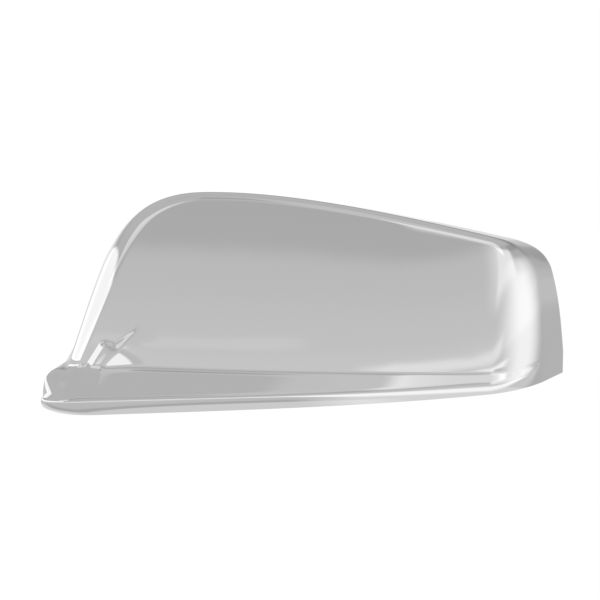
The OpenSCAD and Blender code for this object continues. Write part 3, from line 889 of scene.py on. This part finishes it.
# %% Panels, and the darker side behind
PANELS = [
    # bearings from and to, and softness; heights from and to, and softness; brightness that the panel adds
    ((98.0, 180.0, 10.0), (11.0, 24.0, 4.0), -0.15),  # dimmer, behind on the right
    ((58.0, 86.0, 8.0), (8.0, 15.0, 4.0), 0.45),  # on the right, just over the glow
    ((9.0, 19.0, 5.0), (50.0, 58.0, 5.0), -0.20),  # dimmer, high in front
    ((-24.0, 2.0, 5.0), (27.0, 44.0, 5.0), 0.38),  # in front, a little to the left
    ((2.0, 12.0, 5.0), (3.6, 4.6, 0.9), 0.07),  # a faint line over the horizon, in front
    ((28.0, 62.0, 8.0), (-9.0, -0.6, 1.2), 0.30),  # the floor's distant glow, up to the horizon
    ((28.0, 60.0, 20.0), (36.0, 66.0, 9.0), 0.12),  # wide and faint, high on the right
]
SLOPED_SIDES, SLOPED_GAIN = (37.0, 70.0, 5.0), 0.45
SLOPED_FOOT, SLOPED_TOP, SLOPE_FROM, SLOPE = (20.5, 23.5), (33.0, 41.0), 32.0, 0.25
SHEET_SIDES, SHEET_HEIGHTS, SHEET_GAIN = (-155.0, -10.0, 6.0), (0.26, 0.64, 0.06), 0.85
SHEET_WAY, SHEET_NEAREST = (-0.9063, -0.4226), 0.01
BACK_RIGHT, BACK_LEFT, BACK_TOP, BACK_LOSS = (116.0, 130.0), (-175.0, -158.0), (20.0, 50.0), 0.25

lights = [ramp.outputs[0], low_glow]
for sides, heights, gain in PANELS:
    lights.append(product(sky, window(sky, across, *sides), window(sky, up, *heights), gain))
tilted = total(sky, up, product(sky, computed(sky, "SUBTRACT", across, SLOPE_FROM), SLOPE))
above_foot = product(sky, step_up(sky, tilted, *SLOPED_FOOT), flipped(sky, step_up(sky, up, *SLOPED_TOP)))
lights.append(product(sky, window(sky, across, *SLOPED_SIDES), above_foot, SLOPED_GAIN))
towards_sheet = total(sky, product(sky, sx, SHEET_WAY[0]), product(sky, sy, SHEET_WAY[1]))
on_sheet = computed(sky, "DIVIDE", sz, computed(sky, "MAXIMUM", towards_sheet, SHEET_NEAREST))
sheet = product(sky, window(sky, across, *SHEET_SIDES), window(sky, on_sheet, *SHEET_HEIGHTS), SHEET_GAIN)
back = total(sky, step_up(sky, across, *BACK_RIGHT), flipped(sky, step_up(sky, across, *BACK_LEFT)))
behind = product(sky, back, flipped(sky, step_up(sky, up, *BACK_TOP)), BACK_LOSS)
light = product(sky, total(sky, *lights, sheet), flipped(sky, behind))
sky.links.new(light, sky.nodes["Background"].inputs["Color"])
print(len(PANELS), "plain panels, one with a sloping foot, and an upright sheet")

# %% [markdown]
# ## Floor
# The photograph's ground is pure white, and yet the chrome shows a pale grey table with brighter places.
# One plain white plane can't be both, so this floor tells the rays apart. To the camera it is a white
# light, with a tenth of matt white that keeps a faint shadow. To every other ray it gives off a light
# that depends on the place: the glow on the right, a pool and a strip in front of the part, narrow bands
# along the foot of the lip, and a brighter ground far off.

# %% The plane and the places on it
FLOOR_HALF, END_X, LIP_FRONT, NOSE_X, LIP_SWEEP = 6.0, 0.1, 0.0387, -0.09, 1.33
corners = [(-FLOOR_HALF, -FLOOR_HALF, 0), (FLOOR_HALF, -FLOOR_HALF, 0), (FLOOR_HALF, FLOOR_HALF, 0),
           (-FLOOR_HALF, FLOOR_HALF, 0)]
floor_data = bpy.data.meshes.new("floor")
floor_data.from_pydata(corners, [], [(0, 1, 2, 3)])
floor = bpy.data.objects.new("floor", floor_data)
bpy.context.scene.collection.objects.link(floor)
white = bpy.data.materials.new("white_floor")
white.use_nodes = True
tree = white.node_tree
spot = tree.nodes.new("ShaderNodeSeparateXYZ")
tree.links.new(tree.nodes.new("ShaderNodeTexCoord").outputs["Object"], spot.inputs[0])
fx, fy = spot.outputs[0], spot.outputs[1]
front, beside = computed(tree, "MULTIPLY", fy, -1.0), computed(tree, "SUBTRACT", fx, END_X)
round_end = bearing(tree, beside, fy)
away = computed(tree, "SQRT", total(tree, product(tree, beside, beside), product(tree, fy, fy)))
from_nose = computed(tree, "SUBTRACT", fx, NOSE_X)
swept = product(tree, from_nose, from_nose, LIP_SWEEP)
ahead = total(tree, computed(tree, "SUBTRACT", front, LIP_FRONT), swept)
print("floor", 2 * FLOOR_HALF, "m square, at the lower rim")

# %% The light that the chrome sees on the floor
FLOOR_TONE, POOL_GAIN, STRIP_GAIN, DISTANT_GAIN, FAR_GAIN = 0.80, 0.65, 0.72, 0.30, 0.12
POOL_X, POOL_FRONT = (-0.06, 0.30, 0.04), (0.095, 0.165, 0.05)
STRIP_X, STRIP_AHEAD = (-0.11, 0.13, 0.012), (0.012, 0.05, 0.005)
STRIP_LATER, LATER_X = 0.022, (-0.05, 0.03)
GLOW_START, FAR_START = (0.01, 0.05), (0.3, 0.7)
DISTANT_BEARINGS, DISTANT_START = (28.0, 62.0, 8.0), (0.3, 0.45)
SHADED, SHADE_LOSS = (110.0, 126.0), 0.15
LIP_BANDS = [
    # along the cap from and to, and softness; ahead of the lip from and to, and softness; brightness added
    ((0.03, 0.13, 0.04), (0.0, 0.007, 0.005), 0.28),  # bright, along the outboard half
    ((-0.12, -0.01, 0.02), (0.0046, 0.0068, 0.0014), -0.16),  # a fine darker line, inboard
    ((-0.12, 0.02, 0.03), (-0.006, 0.0026, 0.002), 0.18),  # bright, right under the lip, inboard
]

pool = product(tree, window(tree, fx, *POOL_X), window(tree, front, *POOL_FRONT))
later = product(tree, flipped(tree, step_up(tree, fx, *LATER_X)), STRIP_LATER)
strip_run = window(tree, computed(tree, "SUBTRACT", ahead, later), *STRIP_AHEAD)
strip = product(tree, window(tree, fx, *STRIP_X), strip_run, flipped(tree, pool))
front_right = window(tree, bearing(tree, fx, fy), *DISTANT_BEARINGS)
distant = product(tree, front_right, step_up(tree, away, *DISTANT_START))
glows = [
    # painted shade: the glow on the right fades in from 1 to 5 cm off the outboard end, so the floor next
    # to the part stays darker, as if in the part's shadow
    product(tree, right_glow(tree, round_end), step_up(tree, away, *GLOW_START)),
    product(tree, pool, POOL_GAIN),
    product(tree, strip, STRIP_GAIN),
    product(tree, distant, DISTANT_GAIN),
    product(tree, step_up(tree, away, *FAR_START), FAR_GAIN),
]
for along, off, gain in LIP_BANDS:
    glows.append(product(tree, window(tree, fx, *along), window(tree, ahead, *off), gain))
shade = flipped(tree, product(tree, step_up(tree, round_end, *SHADED), SHADE_LOSS))
floor_light = product(tree, total(tree, *glows, FLOOR_TONE), shade)
print("the floor has", len(glows), "glows over a tone of", FLOOR_TONE)

# %% White to the camera, lit to the chrome
FLOOR_WHITE, FLOOR_ROUGHNESS, CAMERA_WHITE, CAMERA_SHARE = (0.88, 0.88, 0.88, 1.0), 0.9, 1.05, 0.9
matt = tree.nodes["Principled BSDF"]
matt.inputs["Base Color"].default_value = FLOOR_WHITE
matt.inputs["Roughness"].default_value = FLOOR_ROUGHNESS
matt.inputs["Specular IOR Level"].default_value = 0.0
lit, bright = tree.nodes.new("ShaderNodeEmission"), tree.nodes.new("ShaderNodeEmission")
tree.links.new(floor_light, lit.inputs["Strength"])
bright.inputs["Strength"].default_value = CAMERA_WHITE
near_white, seen = tree.nodes.new("ShaderNodeMixShader"), tree.nodes.new("ShaderNodeMixShader")
near_white.inputs[0].default_value = CAMERA_SHARE
path = tree.nodes.new("ShaderNodeLightPath")
tree.links.new(matt.outputs[0], near_white.inputs[1])
tree.links.new(bright.outputs[0], near_white.inputs[2])
tree.links.new(path.outputs["Is Camera Ray"], seen.inputs[0])
tree.links.new(lit.outputs[0], seen.inputs[1])
tree.links.new(near_white.outputs[0], seen.inputs[2])
tree.links.new(seen.outputs[0], tree.nodes["Material Output"].inputs["Surface"])
floor_data.materials.append(white)
bpy.context.scene.view_settings.view_transform = "Standard"
bpy.context.scene.view_settings.look = "None"
print("to the camera the floor is", CAMERA_SHARE, "white light")
